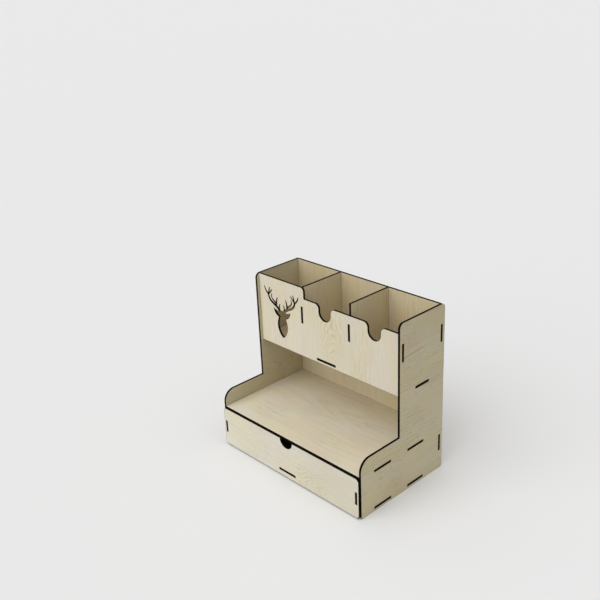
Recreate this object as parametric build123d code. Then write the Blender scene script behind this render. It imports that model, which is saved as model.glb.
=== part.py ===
"""Desk pen holder: a stepped organizer of glued plywood panels, with pen compartments, a tray and a drawer.

Every panel is cut from one thickness of sheet, and tabs on its edges fill slots in its neighbours.
Millimetres, +X to the right, +Y to the back, +Z up, origin on the desk under the middle of the organizer.
"""
from build123d import *
import os
from collections import namedtuple

# Overall size and sheet
WIDTH = 250.0
DEPTH = 155.0  # from the drawer front's face to the rear edges of the sides
HEIGHT = 230.0
PLY = 3.0  # thickness of the sheet
SLOT_PLAY = 0.1  # room around a tab in its slot

# Stepped side panels
STEP_HEIGHT = 80.0
UPPER_DEPTH = 83.0  # depth of the tall rear part
STEP_RADIUS = 16.0
TOP_FRONT_RADIUS = 7.0
TOP_REAR_RADIUS = 6.0
FOOT_FRONT_RADIUS = 3.0
FOOT_REAR_RADIUS = 4.0
WALL_MARGIN = 4.0  # from the sides' edges to the upright panels between them

# Levels
BASE_MARGIN = 3.0  # from the desk to the base panel
DRAWER_BAY = 49.0  # clear height between the base panel and the tray shelf
PEN_DEPTH = 91.0  # from the top of the sides down to the floor of the pen box

# Front of the pen box
FRONT_SKIRT = 3.0  # how far the front hangs below the pen box floor
FRONT_DROP = 15.0  # from the tall section down to the low sections
TALL_OVERHANG = 2.5  # how far the tall section passes the left divider
TALL_RADIUS = 5.0
NOTCH_WIDTH = 21.0
NOTCH_DEPTH = 20.5
NOTCH_SHOULDER = 6.5
FIGURE_MARGIN = 9.5  # wood left on either side of the stag's head

# Tabs of the fixed panels
DECK_TAB = 30.0  # the base's and the shelf's tabs in the sides
DECK_TAB_FRONT = 38.0  # from the sides' front edge to the middle of the first of them
DECK_TAB_REAR = 53.0  # from the sides' rear edge to the middle of the last
WALL_TAB = 23.0  # upright tabs
WALL_TAB_INSET = 38.0  # from the top or the foot to the middle of an upright tab
FLOOR_TAB = 25.0  # the pen box floor's tabs in the sides
CENTRE_TAB = 33.0  # tabs in the middle of the front and the back

# Drawer
DRAWER_PLAY = 1.0  # room beside the drawer
DRAWER_HEADROOM = 3.0  # room above the drawer
DRAWER_REAR_ROOM = 5.0  # room behind the closed drawer
DRAWER_BACK_MARGIN = 4.0  # from the rear ends of the drawer's sides to its back
DRAWER_BOTTOM_MARGIN = 2.0  # from the lower edges of the drawer's sides to its bottom
DRAWER_MARGIN = 1.5  # from the drawer front's edges out to the desk, the tray and the sides' outer faces
DRAWER_RADIUS = 5.0
FINGER_RADIUS = 11.0  # half-round grip in the drawer front's top edge
DRAWER_WALL_TAB = 17.0
DRAWER_CENTRE_TAB = 30.0
DRAWER_SIDE_TAB = 25.0
DRAWER_SIDE_TAB_INSET = 34.0  # from the ends of the drawer bottom to the middle of its side tabs

# Half of the stag's head, as distances from its middle line and from the tip of its muzzle.
# A prong runs through its points and narrows from its root width to its tip width.
FACE = ((4.5, 38.0), (7.0, 27.0), (9.4, 15.5), (7.0, 7.0), (1.2, 0.0))
EAR_TOP = ((3.0, 36.5), (10.0, 36.3), (15.5, 38.5))
EAR_FOOT = ((15.5, 38.5), (12.4, 31.6), (4.0, 28.0))
PRONGS = {
    "beam": (((3.0, 34.5), (12.0, 43.0), (20.0, 47.2), (24.0, 51.8), (24.6, 57.0)), 3.2, 2.0),
    "outer tine": (((24.3, 55.0), (29.5, 59.8), (32.3, 65.5)), 2.0, 0.9),
    "inner tine": (((24.6, 55.5), (23.8, 60.0), (22.3, 65.8)), 2.0, 0.9),
    "small tine": (((24.3, 57.0), (20.8, 60.0), (18.2, 63.4)), 1.7, 0.9),
    "second beam": (((9.6, 45.0), (15.3, 49.0), (18.7, 52.5), (18.3, 57.6)), 2.0, 0.9),
    "middle tine": (((9.2, 40.5), (9.8, 49.0), (7.9, 55.0)), 2.4, 0.9),
    "brow tine": (((4.4, 37.0), (4.7, 42.0), (3.5, 46.8)), 2.4, 0.9),
}

# Faces and levels that the panels share
half_width = WIDTH / 2
inside = half_width - PLY
front_face = -DEPTH / 2
front_edge = front_face + PLY
rear_edge = DEPTH / 2
upper_edge = rear_edge - UPPER_DEPTH
back_y = rear_edge - WALL_MARGIN - PLY
pen_front_y = upper_edge + WALL_MARGIN
pen_room_y = pen_front_y + PLY
base_z = BASE_MARGIN
bay_z = base_z + PLY
shelf_z = bay_z + DRAWER_BAY
shelf_top = shelf_z + PLY
floor_top = HEIGHT - PEN_DEPTH
floor_z = floor_top - PLY
skirt_z = floor_z - FRONT_SKIRT
low_z = HEIGHT - FRONT_DROP
upper_tab_z = HEIGHT - WALL_TAB_INSET

# Left faces of the dividers, which make compartments of equal width
DIVIDERS = ("left_divider", "right_divider")
compartment = (2 * inside - len(DIVIDERS) * PLY) / (len(DIVIDERS) + 1)
divider_x = {node: i * (compartment + PLY) - inside - PLY for i, node in enumerate(DIVIDERS, start=1)}
tall_end = divider_x["left_divider"] + PLY + TALL_OVERHANG

# Drawer box
drawer_half = inside - DRAWER_PLAY
drawer_top = shelf_z - DRAWER_HEADROOM
drawer_middle = (bay_z + drawer_top) / 2
drawer_rear = back_y - DRAWER_REAR_ROOM
drawer_back_y = drawer_rear - DRAWER_BACK_MARGIN - PLY
drawer_bottom_z = bay_z + DRAWER_BOTTOM_MARGIN

# The planes that the panels lie in, each with the axis through the sheet
SIDE, WALL, DECK = "yz", "xz", "xy"
LAYOUTS = {SIDE: (Plane.YZ, Axis.X), WALL: (Plane.XZ, Axis.Y), DECK: (Plane.XY, Axis.Z)}

Tab = namedtuple("Tab", "owner slotted x y z")


def sheet(start):
    """The interval that one sheet takes up from a face on."""
    return start, start + PLY


def around(middle, length):
    """An interval of a given length about its middle."""
    return middle - length / 2, middle + length / 2


def carcass_tabs():
    """The tabs that join the fixed panels."""
    deck_middles = (front_edge + DECK_TAB_FRONT, rear_edge - DECK_TAB_REAR)
    floor_middle = (pen_room_y + back_y) / 2
    for side, x in (("left_side_panel", -half_width), ("right_side_panel", inside)):
        for level, z in (("base_panel", base_z), ("tray_shelf", shelf_z)):
            for y in deck_middles:
                yield Tab(level, side, sheet(x), around(y, DECK_TAB), sheet(z))
        yield Tab("pen_box_floor", side, sheet(x), around(floor_middle, FLOOR_TAB), sheet(floor_z))
        yield Tab("pen_box_front", side, sheet(x), sheet(pen_front_y), around(upper_tab_z, WALL_TAB))
        for z in (WALL_TAB_INSET, upper_tab_z):
            yield Tab("back_panel", side, sheet(x), sheet(back_y), around(z, WALL_TAB))
    for wall, y in (("pen_box_front", pen_front_y), ("back_panel", back_y)):
        yield Tab("pen_box_floor", wall, around(0, CENTRE_TAB), sheet(y), sheet(floor_z))
        for node, x in divider_x.items():
            yield Tab(node, wall, sheet(x), sheet(y), around(upper_tab_z, WALL_TAB))
    for level, z in (("base_panel", base_z), ("tray_shelf", shelf_z)):
        yield Tab(level, "back_panel", around(0, CENTRE_TAB), sheet(back_y), sheet(z))


def drawer_tabs():
    """The tabs that join the drawer's panels."""
    upright = around(drawer_middle, DRAWER_WALL_TAB)
    bottom_middles = (front_edge + DRAWER_SIDE_TAB_INSET, drawer_back_y - DRAWER_SIDE_TAB_INSET)
    for side, x in (("drawer_left_side", -drawer_half), ("drawer_right_side", drawer_half - PLY)):
        yield Tab(side, "drawer_front", sheet(x), sheet(front_face), upright)
        yield Tab("drawer_back", side, sheet(x), sheet(drawer_back_y), upright)
        for y in bottom_middles:
            yield Tab("drawer_bottom", side, sheet(x), around(y, DRAWER_SIDE_TAB), sheet(drawer_bottom_z))
    for wall, y in (("drawer_front", front_face), ("drawer_back", drawer_back_y)):
        yield Tab("drawer_bottom", wall, around(0, DRAWER_CENTRE_TAB), sheet(y), sheet(drawer_bottom_z))


TABS = [*carcass_tabs(), *drawer_tabs()]


def rectangle(across, up, play=0.0):
    """A rectangle between two intervals, grown by some play on every side."""
    width = across[1] - across[0] + 2 * play
    height = up[1] - up[0] + 2 * play
    return Pos(sum(across) / 2, sum(up) / 2) * Rectangle(width, height)


def rounded(points, radii):
    """A straight-sided outline with some of its corners rounded."""
    outline = make_face(Polyline(*points, close=True))
    for point, radius in radii.items():
        outline = fillet(outline.vertices().sort_by_distance(Vector(*point))[0], radius)
    return outline


def panel(node, lying, start, outline):
    """One sheet cut to an outline, with its own tabs on and its neighbours' tabs cut out."""
    for tab in TABS:
        across, up = (getattr(tab, axis) for axis in lying)
        if tab.owner == node:
            outline += rectangle(across, up)
        if tab.slotted == node:
            outline -= rectangle(across, up, SLOT_PLAY)
    plane, through = LAYOUTS[lying]
    return Pos(through.direction * start) * extrude(plane * outline, amount=PLY, dir=through.direction)


def side_panel(node, x):
    """A stepped side: low in front beside the tray, tall at the rear beside the pen box."""
    foot_front, foot_rear = (front_edge, 0), (rear_edge, 0)
    top_rear, top_front = (rear_edge, HEIGHT), (upper_edge, HEIGHT)
    step_rear, step_front = (upper_edge, STEP_HEIGHT), (front_edge, STEP_HEIGHT)
    radii = {foot_front: FOOT_FRONT_RADIUS, foot_rear: FOOT_REAR_RADIUS, top_rear: TOP_REAR_RADIUS,
             top_front: TOP_FRONT_RADIUS, step_front: STEP_RADIUS}
    corners = (foot_front, foot_rear, top_rear, top_front, step_rear, step_front)
    return panel(node, SIDE, x, rounded(corners, radii))


def back_panel():
    """The back, from the desk to the top of the sides."""
    return panel("back_panel", WALL, back_y, rectangle((-inside, inside), (0, HEIGHT)))


def deck(node, z):
    """The base or the tray shelf, from the sides' front edges to the back."""
    return panel(node, DECK, z, rectangle((-inside, inside), (front_edge, back_y)))


def pen_box_floor():
    """The floor that the pens stand on, between the pen box front and the back."""
    return panel("pen_box_floor", DECK, floor_z, rectangle((-inside, inside), (pen_room_y, back_y)))


def divider(node):
    """A full-height wall between two pen compartments."""
    return panel(node, SIDE, divider_x[node], rectangle((pen_room_y, back_y), (floor_top, HEIGHT)))


def notch(middle):
    """A round-bottomed notch with rolled shoulders, in the low edge of the pen box front."""
    half = NOTCH_WIDTH / 2
    round_z = low_z - NOTCH_DEPTH + half
    shoulder = min(NOTCH_SHOULDER, NOTCH_DEPTH - half)
    shoulder_z = low_z - shoulder
    mouth = around(middle, NOTCH_WIDTH + 2 * shoulder)
    opening = rectangle(mouth, (shoulder_z, low_z))
    for x in mouth:
        opening -= Pos(x, shoulder_z) * Circle(shoulder)
    opening += rectangle(around(middle, NOTCH_WIDTH), (round_z, low_z))
    return opening + Pos(middle, round_z) * Circle(half)


def prong(points, root, tip):
    """A curved strip along some points that narrows from its root to its tip."""
    path = [Vector(*point) for point in points]
    last = len(path) - 1
    left, right = [], []
    for i, point in enumerate(path):
        along = path[min(i + 1, last)] - path[max(i - 1, 0)]
        across = along.normalized().rotate(Axis.Z, 90) * (root + (tip - root) * i / last) / 2
        left.append(point + across)
        right.insert(0, point - across)
    return make_face([Spline(*left), Line(left[-1], right[0]), Spline(*right), Line(right[-1], left[0])])


def stag_head():
    """The outline of a stag's head with its antlers, both halves alike, from the tip of the muzzle up."""
    crown, muzzle = (0, FACE[0][1]), (0, FACE[-1][1])
    face = make_face([Spline(*FACE), Polyline(FACE[-1], muzzle, crown, FACE[0])])
    ear = make_face([ThreePointArc(*EAR_TOP), ThreePointArc(*EAR_FOOT), Line(EAR_FOOT[-1], EAR_TOP[0])])
    half = face + ear
    for points, root, tip in PRONGS.values():
        half += prong(points, root, tip)
    return half + mirror(half, about=Plane.YZ)


def pen_box_front():
    """The front of the pen box: a tall section with a stag cut out of it, and low sections with notches."""
    foot_left, foot_right = (-inside, skirt_z), (inside, skirt_z)
    low_right, low_left = (inside, low_z), (tall_end, low_z)
    tall_right, tall_left = (tall_end, HEIGHT), (-inside, HEIGHT)
    corners = (foot_left, foot_right, low_right, low_left, tall_right, tall_left)
    outline = rounded(corners, {tall_right: TALL_RADIUS})
    for x in divider_x.values():
        outline -= notch(x + PLY + compartment / 2)
    room_across = tall_end + inside - 2 * FIGURE_MARGIN
    room_up = HEIGHT - skirt_z - 2 * FIGURE_MARGIN
    figure = stag_head()
    extent = figure.bounding_box().size
    size = min(room_across / extent.X, room_up / extent.Y)
    muzzle_z = (HEIGHT + skirt_z - size * extent.Y) / 2
    outline -= Pos((tall_end - inside) / 2, muzzle_z) * scale(figure, by=size)
    return panel("pen_box_front", WALL, pen_front_y, outline)


def drawer_front():
    """The drawer's front, which lies over the front edges of the sides, with a half-round finger grip."""
    half = half_width - DRAWER_MARGIN
    top = shelf_top - DRAWER_MARGIN
    low_left, low_right = (-half, DRAWER_MARGIN), (half, DRAWER_MARGIN)
    top_right, top_left = (half, top), (-half, top)
    corners = (low_left, low_right, top_right, top_left)
    outline = rounded(corners, dict.fromkeys(corners, DRAWER_RADIUS))
    outline -= Pos(0, top) * Circle(FINGER_RADIUS)
    return panel("drawer_front", WALL, front_face, outline)


def drawer_side(node, x):
    """A side of the drawer, which slides on the base panel."""
    return panel(node, SIDE, x, rectangle((front_edge, drawer_rear), (bay_z, drawer_top)))


def drawer_back():
    """The drawer's back, between its sides."""
    across = (PLY - drawer_half, drawer_half - PLY)
    return panel("drawer_back", WALL, drawer_back_y, rectangle(across, (bay_z, drawer_top)))


def drawer_bottom():
    """The drawer's bottom, held a little above the lower edges of its sides."""
    across = (PLY - drawer_half, drawer_half - PLY)
    return panel("drawer_bottom", DECK, drawer_bottom_z, rectangle(across, (front_edge, drawer_back_y)))


def organizer():
    """All the panels, by name."""
    panels = {
        "left_side_panel": side_panel("left_side_panel", -half_width),
        "right_side_panel": side_panel("right_side_panel", inside),
        "back_panel": back_panel(),
        "base_panel": deck("base_panel", base_z),
        "tray_shelf": deck("tray_shelf", shelf_z),
        "pen_box_floor": pen_box_floor(),
        "pen_box_front": pen_box_front(),
        "drawer_front": drawer_front(),
        "drawer_left_side": drawer_side("drawer_left_side", -drawer_half),
        "drawer_right_side": drawer_side("drawer_right_side", drawer_half - PLY),
        "drawer_back": drawer_back(),
        "drawer_bottom": drawer_bottom(),
    }
    for node in DIVIDERS:
        panels[node] = divider(node)
    return panels


os.makedirs("parts", exist_ok=True)
for node, solid in organizer().items():
    solid.label = node
    export_step(solid, f"parts/{node}.step")
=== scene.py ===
"""Looks of the desk pen holder: light plywood with laser-burnt edges, on a pale floor in soft light."""
import math
from typing import NamedTuple

import bpy
from mathutils import Matrix, Vector


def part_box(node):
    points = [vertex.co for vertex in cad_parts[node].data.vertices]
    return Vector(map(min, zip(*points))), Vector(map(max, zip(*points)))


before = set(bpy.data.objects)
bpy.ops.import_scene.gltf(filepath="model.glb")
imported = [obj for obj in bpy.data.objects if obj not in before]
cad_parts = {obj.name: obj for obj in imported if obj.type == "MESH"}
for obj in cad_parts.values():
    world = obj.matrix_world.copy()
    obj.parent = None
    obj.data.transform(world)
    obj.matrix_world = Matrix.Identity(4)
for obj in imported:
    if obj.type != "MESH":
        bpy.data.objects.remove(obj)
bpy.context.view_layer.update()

# Camera, in degrees, metres and pixels of the square image
AZIMUTH, ELEVATION, ROLL = 47.353, 22.879, -2.698
TARGET = Vector((-0.05128, 0.0055, 0.20794))
DISTANCE = 1.0745
FOCAL_LENGTH = 833.7
IMAGE_WIDTH = 600
SENSOR_WIDTH = 36.0

# Lamps: strength, spread in degrees, and the way that the light goes
LAMPS = {
    "key": (1.42, 70.0, Vector((0.10, 0.80, -0.58))),
    "top": (1.05, 90.0, Vector((0, 0, -1))),
}
SKY_STRENGTH = 0.42
BACKDROP = 0.83  # strength of the sky to the eye

FLOOR_COLOUR = (0.80, 0.80, 0.80, 1.0)
FLOOR_SIZE = 40.0
FLOOR_ROUGHNESS = 0.9
FLOOR_SPECULAR = 0.1

# Tones of the wood, as linear colours
PEN_TONE = (0.644, 0.609, 0.504)
DRAWER_TONE = (0.654, 0.634, 0.547)
SIDE_TONE = (0.548, 0.501, 0.361)
INNER_TONE = (0.625, 0.552, 0.390)
BOX_TONE = (0.620, 0.562, 0.430)
# The tray shelf's tone is lighter than the other panels': painted light from above, added to the wood's tone
SHELF_TONE_PAINTED_LIGHTER = (0.690, 0.645, 0.530)

# Shares of the tone in the darkest and lightest grain, and in yellower and rosier wood
DARK_GRAIN = (0.80, 0.74, 0.64, 1.0)
LIGHT_GRAIN = (1.05, 1.06, 1.07, 1.0)
YELLOWER = (1.01, 1.00, 0.92, 1.0)
ROSIER = (1.01, 0.978, 0.985, 1.0)

# Burnt wood, as linear colours
CHAR = (0.0022, 0.0013, 0.0007, 1.0)
SINGED = (0.014, 0.0075, 0.0035, 1.0)
SCORCH = (0.20, 0.115, 0.050, 1.0)


class Panel(NamedTuple):
    """How a panel lies in the frame, and what its veneer is like."""

    through: str  # axis through the sheet
    grain: str  # axis along the grain
    tone: tuple
    rings: float  # strength of its growth rings
    flecks: float  # strength of its flecks and veins
    seed: float  # its place in the pattern


PANELS = {
    "left_side_panel": Panel("x", "y", SIDE_TONE, 0.35, 0.6, 1.7),
    "right_side_panel": Panel("x", "y", SIDE_TONE, 0.35, 1.4, 24.8),
    "back_panel": Panel("y", "z", INNER_TONE, 0.45, 0.3, 3.3),
    "base_panel": Panel("z", "x", INNER_TONE, 0.50, 0.3, 4.6),
    "tray_shelf": Panel("z", "x", SHELF_TONE_PAINTED_LIGHTER, 0.45, 0.4, 5.2),
    "pen_box_floor": Panel("z", "x", INNER_TONE, 0.45, 0.4, 6.4),
    "pen_box_front": Panel("y", "z", PEN_TONE, 0.50, 0.2, 7.1),
    "left_divider": Panel("x", "z", INNER_TONE, 0.40, 0.4, 8.5),
    "right_divider": Panel("x", "z", INNER_TONE, 0.40, 0.4, 9.8),
    "drawer_front": Panel("y", "x", DRAWER_TONE, 0.45, 0.3, 10.3),
    "drawer_left_side": Panel("x", "y", BOX_TONE, 0.45, 0.3, 11.6),
    "drawer_right_side": Panel("x", "y", BOX_TONE, 0.45, 0.3, 12.2),
    "drawer_back": Panel("y", "x", BOX_TONE, 0.45, 0.3, 13.7),
    "drawer_bottom": Panel("z", "x", BOX_TONE, 0.50, 0.3, 14.9),
}
SEED_STEP = (0.37, 0.53, 0.19)  # metres of the pattern for each unit of a seed
FACE_SPAN = (0.6, 0.8)  # of the normal's part through the sheet, from a cut edge to a face

# Painted shading over a panel: light that falls off across it, painted into its colour as a share of it from
# the low to the high end of each axis
PAINTED_SHADING = {
    "pen_box_front": {"x": -0.075, "z": -0.035},
    "drawer_front": {"x": -0.125, "z": -0.040},
    "right_side_panel": {"y": -0.040, "z": -0.105},
}


class Spots(NamedTuple):
    """Noise in the wood. With a span, it is eased from one share to another over that span of its values."""

    size: tuple  # of a spot in metres: along the grain, across it and through the sheet
    detail: float = 2.0
    roughness: float = 0.5
    span: tuple = ()
    share: tuple = (0.0, 1.0)


NOISE_MIDDLE = 0.5
SPOTS = {
    "slow bends": Spots((0.35, 0.09, 0.02), 1.0),
    "quick bends": Spots((0.060, 0.014, 0.02)),
    "rings": Spots((0.45, 0.045, 0.03), 1.0),
    "ring patches": Spots((0.10, 0.05, 0.03), 1.0, span=(0.35, 0.65), share=(0.15, 0.8)),
    "arch wobble": Spots((0.022, 0.014, 0.02), 3.0, 0.6),
    "veins": Spots((0.50, 0.026, 0.03), 1.0),
    "vein patches": Spots((0.09, 0.030, 0.03), span=(0.50, 0.60)),
    "streaks": Spots((0.060, 0.0019, 0.02)),
    "streak patches": Spots((0.14, 0.045, 0.03), 1.0, span=(0.38, 0.62), share=(0.25, 0.8)),
    "fibres": Spots((0.012, 0.0006, 0.01), 2.0, 0.6),
    "pores": Spots((0.0030, 0.00035, 0.01), 0.0, span=(0.70, 0.78)),
    "flecks": Spots((0.008, 0.0014, 0.01), 1.0, span=(0.60, 0.72)),
    "fleck patches": Spots((0.07, 0.035, 0.03), 1.0, span=(0.42, 0.58)),
    "clouds": Spots((0.08, 0.06, 0.03)),
    "yellow patches": Spots((0.065, 0.030, 0.03), 3.0, span=(0.38, 0.64)),
    "rosy patches": Spots((0.050, 0.034, 0.03), 3.0, span=(0.38, 0.64)),
    "smoke": Spots((0.004, 0.004, 0.004)),
    "beam": Spots((0.0008, 0.0008, 0.006), 3.0, 0.6),
    "soot": Spots((0.012, 0.012, 0.004), span=(0.3, 0.7), share=(0.35, 1.0)),
}

# Sideways bends of the grain, in metres
SLOW_BEND = 0.022
QUICK_BEND = 0.0024

# Rings and veins: how many the noise holds, and how each one darkens and lightens again
RING_COUNT = 16.0
RING_RISE = 2.5
RING_FALL = (0.84, 1.0)
VEIN_COUNT = 20.0
VEIN_RISE = (0.76, 0.88)
VEIN_FALL = (0.88, 1.0)

# Where rings make arches on a panel: the tip along and across the grain, and the way along it that they open
ARCHES = {"pen_box_front": (0.206, 0.012, -1), "drawer_front": (0.012, 0.012, 1)}
ARCH_START = (-0.015, 0.010)
ARCH_LENGTH = 0.085
ARCH_WIDTH = 0.036
ARCH_ROUNDING = 0.009
ARCH_SPACING = (0.014, 0.0050)  # along and across the grain
ARCH_WOBBLE = 4.0  # in rings
ARCH_STRENGTH = 1.4
PLAIN_RINGS = 0.3  # share of the plain rings' field among arches

# How far each mark darkens the grain
MARK_DEPTHS = {"flecks": 0.6, "veins": 0.9, "streaks": 0.75, "fibres": 0.30, "clouds": 0.45, "pores": 0.35}
PANEL_MARKS = ("flecks", "veins")  # these also by the panel's own strength
DEPTH_BASE = 0.12  # taken off the sum

# Shine and relief of a face
FACE_ROUGHNESS = 0.42
FIBRE_ROUGHNESS = 0.22  # more of it along the fibres
WOOD_SPECULAR = 0.06
MARK_RELIEF = {"pores": -0.8, "streaks": 0.6}  # beside that of the fibres
BUMP_STRENGTH = 0.35
BUMP_DISTANCE = 0.00006

# Scorch and a charred lip beside the cuts, by how far a rounded edge would turn the face there
SCORCH_REACH = 0.0012
SCORCH_SAMPLES = 8
SCORCH_SPAN = (0.02, 0.30)
SCORCH_STRENGTH = 0.75
SMOKE_SPAN, SMOKE_SHARE = (0.2, 0.7), (0.5, 1.0)
LIP_SPAN = (0.045, 0.145)
LIP_RAGGEDNESS = 0.10

# Fine cuts, along which the char is wider: the middle and the half size of the figure along two axes
FINE_CUTS = {"pen_box_front": {"x": (-0.0825, 0.0340), "z": (0.1805, 0.0335)}}
FINE_FADE = 0.0025
FINE_CHAR = 3.0

# Cut edges: the middle one of three layers, and the lines that the beam left
LAYER_START, LAYER_END = (0.29, 0.36), (0.64, 0.71)  # shares of the sheet
LAYER_STRENGTH = 0.55
BEAM_SPAN = (0.30, 0.75)
BEAM_RELIEF = 4.0
CUT_ROUGHNESS = 0.82

MIX_SOCKETS = {"RGBA": (6, 7, 2), "FLOAT": (2, 3, 0)}  # two inputs and the result, by the kind of mix


class Graph:
    """The nodes of a material or a world, added one call at a time."""

    def __init__(self, owner):
        owner.use_nodes = True
        self.tree = owner.node_tree

    def feed(self, socket, value):
        """Links a socket to another node's output, or sets it."""
        if isinstance(value, bpy.types.NodeSocket):
            self.tree.links.new(value, socket)
        else:
            socket.default_value = value

    def add(self, kind, settings=(), **inputs):
        """A new node with the named inputs linked or set."""
        node = self.tree.nodes.new("ShaderNode" + kind)
        for key, value in dict(settings).items():
            setattr(node, key, value)
        for key, value in inputs.items():
            self.feed(node.inputs[key.replace("_", " ")], value)
        return node

    def math(self, operation, *values, clamp=False):
        """The result of a calculation with numbers and outputs."""
        node = self.add("Math", {"operation": operation, "use_clamp": clamp})
        for socket, value in zip(node.inputs, values):
            self.feed(socket, value)
        return node.outputs[0]

    def times(self, *values):
        """The product of numbers and outputs."""
        product, *others = values
        for value in others:
            product = self.math("MULTIPLY", product, value)
        return product

    def vector(self, operation, *values):
        """The outputs of a calculation with vectors."""
        node = self.add("VectorMath", {"operation": operation})
        for socket, value in zip(node.inputs, values):
            self.feed(socket, value)
        return node.outputs

    def blend(self, share, first, second, kind="RGBA", way="MIX"):
        """A mix of two colours or two numbers."""
        node = self.add("Mix", {"data_type": kind, "blend_type": way})
        start, end, result = MIX_SOCKETS[kind]
        self.feed(node.inputs[0], share)
        self.feed(node.inputs[start], first)
        self.feed(node.inputs[end], second)
        return node.outputs[result]

    def ramp(self, value, low, high, start=0.0, end=1.0):
        """A number eased from start to end while the value goes from low to high."""
        eased = {"interpolation_type": "SMOOTHSTEP"}
        node = self.add("MapRange", eased, Value=value, From_Min=low, From_Max=high, To_Min=start, To_Max=end)
        return node.outputs[0]

    def spots(self, place, name):
        """Noise of a kind at a place, as a share if that kind has a span."""
        size, detail, roughness, span, share = SPOTS[name]
        scaled = self.vector("MULTIPLY", place, [1 / length for length in size])[0]
        noise = self.add("TexNoise", Vector=scaled, Scale=1.0, Detail=detail, Roughness=roughness).outputs[0]
        return self.ramp(noise, *span, *share) if span else noise

    def even_spots(self, place, name):
        """Noise of a kind at a place, above and below zero."""
        return self.math("SUBTRACT", self.spots(place, name), NOISE_MIDDLE)


class Sheet(Graph):
    """A panel's material, with the places on the sheet that its patterns follow."""

    def __init__(self, node, panel):
        self.material = bpy.data.materials.new(node + "_plywood")
        super().__init__(self.material)
        self.inputs = self.tree.nodes["Principled BSDF"].inputs
        coordinates = self.add("TexCoord").outputs
        self.parts = dict(zip("xyz", self.add("SeparateXYZ", Vector=coordinates["Object"]).outputs))
        facing = dict(zip("xyz", self.add("SeparateXYZ", Vector=coordinates["Normal"]).outputs))
        across = next(axis for axis in "xyz" if axis not in (panel.through, panel.grain))
        axes = panel.grain, across, panel.through
        self.along, self.across, self.through = (self.parts[axis] for axis in axes)
        self.face = self.ramp(self.math("ABSOLUTE", facing[panel.through]), *FACE_SPAN)

        # Place on the sheet, in the panel's own part of the pattern, and bent with the grain
        self.flat = self.add("CombineXYZ", X=self.along, Y=self.across, Z=self.through).outputs[0]
        self.place = self.vector("ADD", self.flat, [panel.seed * step for step in SEED_STEP])[0]
        slow = self.times(self.even_spots(self.place, "slow bends"), SLOW_BEND)
        quick = self.times(self.even_spots(self.place, "quick bends"), QUICK_BEND)
        self.sway = self.math("ADD", slow, quick)
        self.bent = self.vector("ADD", self.place, self.add("CombineXYZ", Y=self.sway).outputs[0])[0]


def reach(node, axis):
    """The low and the high end of a panel along an axis."""
    return [corner["xyz".index(axis)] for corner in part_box(node)]


def arch(sheet, tip, centre, way):
    """A field that rises by one from arch to arch, and the share of arched figure at each place."""
    beside = sheet.math("ADD", sheet.math("SUBTRACT", sheet.across, centre), sheet.sway)
    beside = sheet.math("SQRT", sheet.math("MULTIPLY_ADD", beside, beside, ARCH_ROUNDING ** 2))
    ahead = sheet.times(sheet.math("SUBTRACT", sheet.along, tip), way)
    zone = sheet.times(
        sheet.ramp(ahead, *ARCH_START),
        sheet.ramp(beside, ARCH_ROUNDING, ARCH_WIDTH, 1.0, 0.0),
        sheet.ramp(ahead, ARCH_LENGTH / 2, ARCH_LENGTH, 1.0, 0.0),
    )
    along, across = ARCH_SPACING
    climb = sheet.times(
        sheet.ramp(ahead, 0.0, ARCH_LENGTH, 0.0, ARCH_LENGTH / along),
        sheet.ramp(beside, 0.0, ARCH_WIDTH, 1.0, 0.0),
    )
    return sheet.math("SUBTRACT", sheet.math("DIVIDE", beside, across), climb), zone


def growth_rings(sheet, node):
    """Rings that the sheet was peeled through, and the share of yellower wood."""
    field = sheet.times(sheet.spots(sheet.bent, "rings"), RING_COUNT)
    patch = sheet.spots(sheet.place, "ring patches")
    yellow = sheet.spots(sheet.place, "yellow patches")
    if node in ARCHES:
        arches, zone = arch(sheet, *ARCHES[node])
        field = sheet.math("MULTIPLY_ADD", field, PLAIN_RINGS, arches)
        field = sheet.math("MULTIPLY_ADD", sheet.spots(sheet.place, "arch wobble"), ARCH_WOBBLE, field)
        patch = sheet.math("MULTIPLY_ADD", zone, ARCH_STRENGTH, patch)
        yellow = sheet.math("MAXIMUM", yellow, zone)
    ring = sheet.math("FRACT", field)
    darkening = sheet.math("POWER", ring, RING_RISE)
    return sheet.times(darkening, sheet.ramp(ring, *RING_FALL, 1.0, 0.0), patch), yellow


def grain_marks(sheet):
    """The smaller marks in the wood, by name."""
    line = sheet.math("FRACT", sheet.times(sheet.spots(sheet.bent, "veins"), VEIN_COUNT))
    veins = sheet.times(sheet.ramp(line, *VEIN_RISE), sheet.ramp(line, *VEIN_FALL, 1.0, 0.0))
    streaks = sheet.even_spots(sheet.bent, "streaks")
    return {
        "flecks": sheet.times(sheet.spots(sheet.bent, "flecks"), sheet.spots(sheet.place, "fleck patches")),
        "veins": sheet.times(veins, sheet.spots(sheet.place, "vein patches")),
        "streaks": sheet.times(streaks, sheet.spots(sheet.place, "streak patches")),
        "fibres": sheet.spots(sheet.bent, "fibres"),
        "clouds": sheet.spots(sheet.place, "clouds"),
        "pores": sheet.spots(sheet.bent, "pores"),
    }


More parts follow.
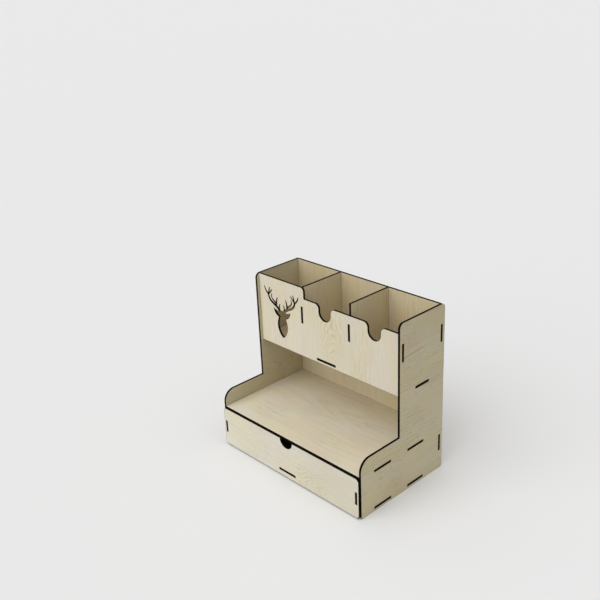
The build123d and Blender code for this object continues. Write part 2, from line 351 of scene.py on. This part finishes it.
def veneer_colour(sheet, node, panel, marks):
    """The colour of a face, away from the cuts, with painted shading across some panels."""
    rings, yellow = growth_rings(sheet, node)
    depth = sheet.times(rings, panel.rings)
    for name, strength in MARK_DEPTHS.items():
        share = panel.flecks if name in PANEL_MARKS else 1.0
        depth = sheet.math("MULTIPLY_ADD", marks[name], strength * share, depth)
    depth = sheet.math("SUBTRACT", depth, DEPTH_BASE, clamp=True)
    grain = sheet.blend(depth, LIGHT_GRAIN, DARK_GRAIN)
    veneer = sheet.blend(1.0, (*panel.tone, 1.0), grain, way="MULTIPLY")
    veneer = sheet.blend(yellow, veneer, YELLOWER, way="MULTIPLY")
    veneer = sheet.blend(sheet.spots(sheet.place, "rosy patches"), veneer, ROSIER, way="MULTIPLY")
    # Painted shading: the colour grows lighter or darker across these panels where the light falls off
    for axis, painted_falloff in PAINTED_SHADING.get(node, {}).items():
        low, high = reach(node, axis)
        slope = painted_falloff / (high - low)
        share = sheet.math("MULTIPLY_ADD", sheet.parts[axis], slope, 1 - slope * (low + high) / 2)
        veneer = sheet.blend(1.0, veneer, share, way="MULTIPLY")
    return veneer


def fine_cuts(sheet, areas):
    """The share of fine cuts at each place."""
    fine = 1.0
    for axis, (centre, half) in areas.items():
        away = sheet.math("ABSOLUTE", sheet.math("SUBTRACT", sheet.parts[axis], centre))
        fine = sheet.times(fine, sheet.ramp(away, half, half + FINE_FADE, 1.0, 0.0))
    return fine


def scorched(sheet, node, veneer):
    """The colour of a face with scorch and a charred lip beside the cuts."""
    rounded = sheet.add("Bevel", {"samples": SCORCH_SAMPLES}, Radius=SCORCH_REACH).outputs[0]
    straight = sheet.add("NewGeometry").outputs["True Normal"]
    turn = sheet.math("SUBTRACT", 1.0, sheet.vector("DOT_PRODUCT", rounded, straight)["Value"])
    smoke = sheet.spots(sheet.place, "smoke")
    smoked = sheet.ramp(smoke, *SMOKE_SPAN, *SMOKE_SHARE)
    veneer = sheet.blend(sheet.times(sheet.ramp(turn, *SCORCH_SPAN), smoked, SCORCH_STRENGTH), veneer, SCORCH)
    if node in FINE_CUTS:
        fine = fine_cuts(sheet, FINE_CUTS[node])
        turn = sheet.times(turn, sheet.math("MULTIPLY_ADD", fine, FINE_CHAR, 1.0))
    uneven = sheet.math("SUBTRACT", smoke, NOISE_MIDDLE)
    ragged = sheet.math("MULTIPLY_ADD", uneven, LIP_RAGGEDNESS, turn)
    return sheet.blend(sheet.ramp(ragged, *LIP_SPAN), veneer, SINGED)


def burnt_edge(sheet, node, through):
    """The colour and the relief of a cut edge."""
    low, high = reach(node, through)
    layer = sheet.math("DIVIDE", sheet.math("SUBTRACT", sheet.through, low), high - low)
    middle = sheet.times(sheet.ramp(layer, *LAYER_START), sheet.ramp(layer, *LAYER_END, 1.0, 0.0))
    outer = sheet.math("SUBTRACT", 1.0, sheet.times(middle, LAYER_STRENGTH))
    beam = sheet.spots(sheet.flat, "beam")
    singe = sheet.times(sheet.ramp(beam, *BEAM_SPAN), sheet.spots(sheet.flat, "soot"), outer)
    return sheet.blend(singe, CHAR, SINGED), sheet.times(beam, BEAM_RELIEF)


def plywood(node, panel):
    """Veneer on the sheet's faces and a burnt cut along its edges."""
    sheet = Sheet(node, panel)
    marks = grain_marks(sheet)
    veneer = scorched(sheet, node, veneer_colour(sheet, node, panel, marks))
    cut, cut_relief = burnt_edge(sheet, node, panel.through)
    sheet.feed(sheet.inputs["Base Color"], sheet.blend(sheet.face, cut, veneer))

    roughness = sheet.math("MULTIPLY_ADD", marks["fibres"], FIBRE_ROUGHNESS, FACE_ROUGHNESS)
    sheet.feed(sheet.inputs["Roughness"], sheet.blend(sheet.face, CUT_ROUGHNESS, roughness, "FLOAT"))
    sheet.inputs["Specular IOR Level"].default_value = WOOD_SPECULAR

    relief = marks["fibres"]
    for name, strength in MARK_RELIEF.items():
        relief = sheet.math("MULTIPLY_ADD", marks[name], strength, relief)
    height = sheet.blend(sheet.face, cut_relief, relief, "FLOAT")
    bump = sheet.add("Bump", Strength=BUMP_STRENGTH, Distance=BUMP_DISTANCE, Height=height)
    sheet.feed(sheet.inputs["Normal"], bump.outputs[0])
    return sheet.material


def add_floor():
    """A plain pale floor that runs out of sight."""
    mesh = bpy.data.meshes.new("floor")
    half = FLOOR_SIZE / 2
    corners = [(-half, -half, 0), (half, -half, 0), (half, half, 0), (-half, half, 0)]
    mesh.from_pydata(corners, [], [(0, 1, 2, 3)])
    floor = bpy.data.objects.new("floor", mesh)
    bpy.context.scene.collection.objects.link(floor)
    material = bpy.data.materials.new("floor")
    inputs = Graph(material).tree.nodes["Principled BSDF"].inputs
    inputs["Base Color"].default_value = FLOOR_COLOUR
    inputs["Roughness"].default_value = FLOOR_ROUGHNESS
    inputs["Specular IOR Level"].default_value = FLOOR_SPECULAR
    mesh.materials.append(material)


def add_lamps():
    """A broad key light from the front and above, and soft light from straight above."""
    for name, (strength, spread, direction) in LAMPS.items():
        light = bpy.data.lights.new(name, "SUN")
        light.energy = strength
        light.angle = math.radians(spread)
        lamp = bpy.data.objects.new(name, light)
        lamp.rotation_euler = direction.to_track_quat("-Z", "Y").to_euler()
        bpy.context.scene.collection.objects.link(lamp)


def add_sky():
    """An even white sky that is as pale as the floor to the eye."""
    world = bpy.data.worlds.new("sky")
    bpy.context.scene.world = world
    graph = Graph(world)
    rays = graph.add("LightPath").outputs
    seen = rays["Is Camera Ray"]
    for name in ("Is Glossy Ray", "Is Transmission Ray"):
        seen = graph.math("MAXIMUM", seen, rays[name])
    strength = graph.add("MapRange", Value=seen, To_Min=SKY_STRENGTH, To_Max=BACKDROP).outputs[0]
    background = graph.tree.nodes["Background"]
    background.inputs["Color"].default_value = (1, 1, 1, 1)
    graph.feed(background.inputs["Strength"], strength)


def add_camera():
    """The camera at the photograph's angle."""
    azimuth, elevation, roll = (math.radians(angle) for angle in (AZIMUTH, ELEVATION, ROLL))
    level = math.cos(elevation)
    back = Vector((math.sin(azimuth) * level, -math.cos(azimuth) * level, math.sin(elevation)))
    right = Vector((math.cos(azimuth), math.sin(azimuth), 0))
    up = back.cross(right)
    across = right * math.cos(roll) + up * math.sin(roll)
    upward = up * math.cos(roll) - right * math.sin(roll)
    lens = bpy.data.cameras.new("camera")
    lens.sensor_width = SENSOR_WIDTH
    lens.lens = FOCAL_LENGTH * SENSOR_WIDTH / IMAGE_WIDTH
    camera = bpy.data.objects.new("camera", lens)
    turn = Matrix((across, upward, back)).transposed().to_4x4()
    camera.matrix_world = Matrix.Translation(TARGET + back * DISTANCE) @ turn
    bpy.context.scene.collection.objects.link(camera)
    bpy.context.scene.camera = camera


for name, panel in PANELS.items():
    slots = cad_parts[name].data.materials
    slots.clear()
    slots.append(plywood(name, panel))

add_floor()
add_lamps()
add_sky()
add_camera()
bpy.context.scene.view_settings.view_transform = "Standard"
